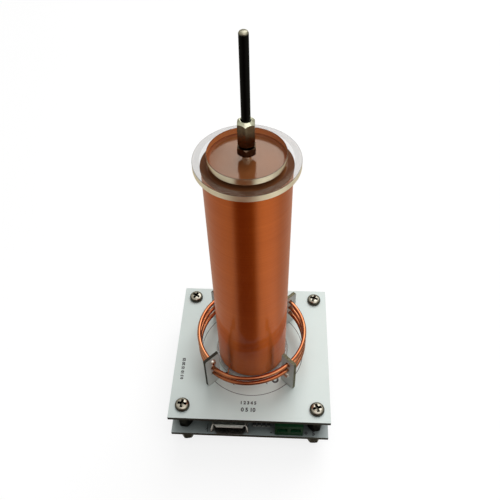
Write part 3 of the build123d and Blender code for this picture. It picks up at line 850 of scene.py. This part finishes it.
def shaded_nickel_finish(low, high):
    """Nickel plate, pale on the turned end, with a painted brown reflection down the flats and painted shade
    darker towards the bottom.
    """
    finish, tree, place = new_finish("nickel_painted_reflection_and_shade")
    rise = along(tree, shade(tree, "NewGeometry").outputs["True Normal"], "Z")
    height = along(tree, place, "Z")
    bevelled = reckon(tree, "MULTIPLY", reckon(tree, "GREATER_THAN", rise, 0.2),
                      reckon(tree, "GREATER_THAN", height, (high - 2.5) * MM))
    # Painted reflection and shade: the flats are brown, darkest at the bottom.
    up = ramp(tree, height, low * MM, high * MM)
    painted_reflection_and_shade = between(tree, up, (0.040, 0.018, 0.010), (0.16, 0.13, 0.088))
    streaked = between(tree, clouds(tree, place, 1.0, 0.0, 1.0, stretch=(1.5, 1.5, 0.2)), painted_reflection_and_shade,
                       (0.10, 0.065, 0.040))
    plate = between(tree, clouds(tree, place, 0.9, 0.0, 1.0), (0.62, 0.63, 0.50), (0.38, 0.39, 0.29))
    coat(tree, {"Base Color": between(tree, bevelled, streaked, plate), "Metallic": 1.0,
                "Roughness": clouds(tree, place, 1.5, 0.14, 0.26),
                "Normal": relief(tree, clouds(tree, place, 5.0, 0.0, 1.0), 0.005, 0.3)})
    return finish


def rod_finish(tip):
    """Blackened steel, worn bright at the cut tip."""
    finish, tree, place = new_finish("blackened_rod")
    end = ramp(tree, along(tree, place, "Z"), (tip - 0.75) * MM, (tip - 0.35) * MM)
    streaks = clouds(tree, place, 1.0, 0.0, 1.0, stretch=(2.0, 2.0, 0.15))
    black = between(tree, streaks, (0.001, 0.001, 0.0008), (0.004, 0.0035, 0.003))
    coat(tree, {"Base Color": between(tree, end, black, (0.27, 0.26, 0.20)), "Metallic": end,
                "Roughness": clouds(tree, place, 1.5, 0.28, 0.45, stretch=(1, 1, 0.3)),
                "Specular IOR Level": 0.05, "Normal": relief(tree, streaks, 0.01, 0.4)})
    return finish


nut_bevel, holder_bevel = 0.35, 1.0
nickel_painted_reflection_and_shade = shaded_nickel_finish(lowest("holder_nut"), highest("rod_holder"))
dress("holder_screw", bright_nickel, round_by=0.1)
nut = hex_spacer_mesh(2 * reach("holder_nut"), lowest("holder_nut") + seat_gap, highest("holder_nut"),
                      head_bore, nut_bevel)
place_piece("rod_nut", nut, nickel_painted_reflection_and_shade, BASE, ["holder_nut"])
holder = hex_spacer_mesh(2 * reach("rod_holder"), lowest("rod_holder"), highest("rod_holder"),
                         head_bore, holder_bevel)
place_piece("hexagonal_rod_holder", holder, nickel_painted_reflection_and_shade, BASE, ["rod_holder"])

rod_radius, rod_low, rod_tip = reach("discharge_rod"), lowest("discharge_rod"), highest("discharge_rod")
rod_profile = [(0, rod_low), (rod_radius, rod_low)]
for less, below in ((0, 0.6), (0.06, 0.4), (0.25, 0.12), (0.45, 0)):
    rod_profile.append((rod_radius - less, rod_tip - below))
rod_profile.append((0, rod_tip))
place_piece("discharge_rod_turned", lathe(rod_profile, 48), rod_finish(rod_tip), BASE,
            ["discharge_rod"])


# ---- Table and light
# A plain pale table under a large softbox behind the object and a small one in front. Polished
# faces show the room round the table: a window as a bright stripe, an unlit side as a dark one.

def ray_kinds(tree):
    """Whether a ray looks straight or through glass, and whether it comes off a polished face."""
    path = shade(tree, "LightPath")
    straight = reckon(tree, "MAXIMUM", path.outputs["Is Camera Ray"], path.outputs["Is Transmission Ray"])
    return straight, path.outputs["Is Glossy Ray"]


def towards(tree, spot, bearing, from_cos, to_cos):
    """1 for spots that lie in a given direction from the axis, and 0 beside it."""
    way = vector(tree, "NORMALIZE", vector(tree, "MULTIPLY", spot, (1, 1, 0)))
    near = vector(tree, "DOT_PRODUCT", way, (cos(radians(bearing)), sin(radians(bearing)), 0))
    return ramp(tree, near, from_cos, to_cos, course="SMOOTHSTEP")


def mirrored_room(tree, spot, plain, window, shadow):
    """The warm room in polished faces: a window to the right and a dark brown side in front."""
    lit = reckon(tree, "MULTIPLY", towards(tree, spot, -36, 0.84, 0.98), window - plain)
    warm = vector(tree, "MULTIPLY", reckon(tree, "ADD", lit, plain), (1.0, 0.95, 0.80))
    unlit = towards(tree, spot, -96, 0.84, 0.95)
    return between(tree, unlit, warm, (shadow, shadow * 0.26, shadow * 0.04))


def table_finish(colour, lift):
    """A matt grey table that looks near white straight on and shows the room in polished faces."""
    finish, tree, place = new_finish("pale_table")
    straight, mirrored = ray_kinds(tree)
    fleck = between(tree, clouds(tree, place, 0.02, 0.0, 1.0), colour, darker(colour, 0.985))
    dull = shade(tree, "BsdfDiffuse", {"Color": fleck})
    glow = shade(tree, "Emission", {"Strength": reckon(tree, "MULTIPLY", straight, lift)})
    lit = shade(tree, "AddShader", {0: dull.outputs[0], 1: glow.outputs[0]})
    image = shade(tree, "Emission", {"Color": mirrored_room(tree, place, 0.61, 0.86, 0.14)})
    both = shade(tree, "MixShader", {0: mirrored, 1: lit.outputs[0], 2: image.outputs[0]})
    shade(tree, "OutputMaterial", {"Surface": both.outputs[0]})
    return finish


table_mesh = bmesh.new()
bmesh.ops.create_grid(table_mesh, x_segments=1, y_segments=1, size=4)
table_data = bpy.data.meshes.new("table")
table_mesh.to_mesh(table_data)
table_mesh.free()
table_data.materials.append(table_finish((0.26, 0.26, 0.26), 0.80))
table = bpy.data.objects.new("table", table_data)
bpy.context.scene.collection.objects.link(table)

world = bpy.data.worlds.new("daylight")
bpy.context.scene.world = world
world.use_nodes = True
room = world.node_tree
room.nodes.clear()
way = shade(room, "TexCoord").outputs["Generated"]
straight, mirrored = ray_kinds(room)
soft_sky = ramp(room, vector(room, "DOT_PRODUCT", way, (0.12, 0.42, 0.90)), 0.0, 1.0, 0.04, 0.42)
overhead = ramp(room, along(room, way, "Z"), 0.1, 0.9, 0.0, 0.6)
image = vector(room, "ADD", mirrored_room(room, way, 0.50, 0.70, 0.15), overhead)
seen = between(room, mirrored, soft_sky, image)
daylight = shade(room, "Background", {"Color": between(room, straight, seen, (1, 1, 1)), "Strength": 1.0})
shade(room, "OutputWorld", {"Surface": daylight.outputs[0]})

aim = Vector((0, 0, 0.07))
for name, bearing, rise, far, wide, power in (("softbox_behind", 69, 53, 1.0, 0.8, 6.1),
                                              ("softbox_in_front", -58, 60, 0.32, 0.34, 0.44)):
    softbox = bpy.data.lights.new(name, "AREA")
    softbox.size = wide
    softbox.energy = power
    lamp = bpy.data.objects.new(name, softbox)
    flat = far * cos(radians(rise))
    lamp.location = aim + Vector((flat * cos(radians(bearing)), flat * sin(radians(bearing)),
                                  far * sin(radians(rise))))
    lamp.rotation_euler = (aim - lamp.location).to_track_quat("-Z", "Y").to_euler()
    bpy.context.scene.collection.objects.link(lamp)


# ---- Camera
# The photograph's viewpoint: close in front of the object and a little to its right, looking
# down on it by almost 49 degrees, with the camera rolled by one and a half.

turned, tipped, tilted = radians(-3.849), radians(48.645), radians(-1.552)
eye_place = Vector((0.008654, -0.126264, highest("upper_board") * MM + 0.203998))
ahead = Vector((sin(turned) * cos(tipped), cos(turned) * cos(tipped), -sin(tipped)))
level = Vector((cos(turned), -sin(turned), 0))
upward = level.cross(ahead)
across = cos(tilted) * level + sin(tilted) * upward
upright = cos(tilted) * upward - sin(tilted) * level
eye = bpy.data.cameras.new("eye")
eye.sensor_width = 36.0
eye.lens = 42.74
eye.clip_start = 0.005
camera = bpy.data.objects.new("eye", eye)
camera.matrix_world = Matrix.Translation(eye_place) @ Matrix((across, upright, -ahead)).transposed().to_4x4()
bpy.context.scene.collection.objects.link(camera)
bpy.context.scene.camera = camera
bpy.context.scene.view_settings.view_transform = "Standard"
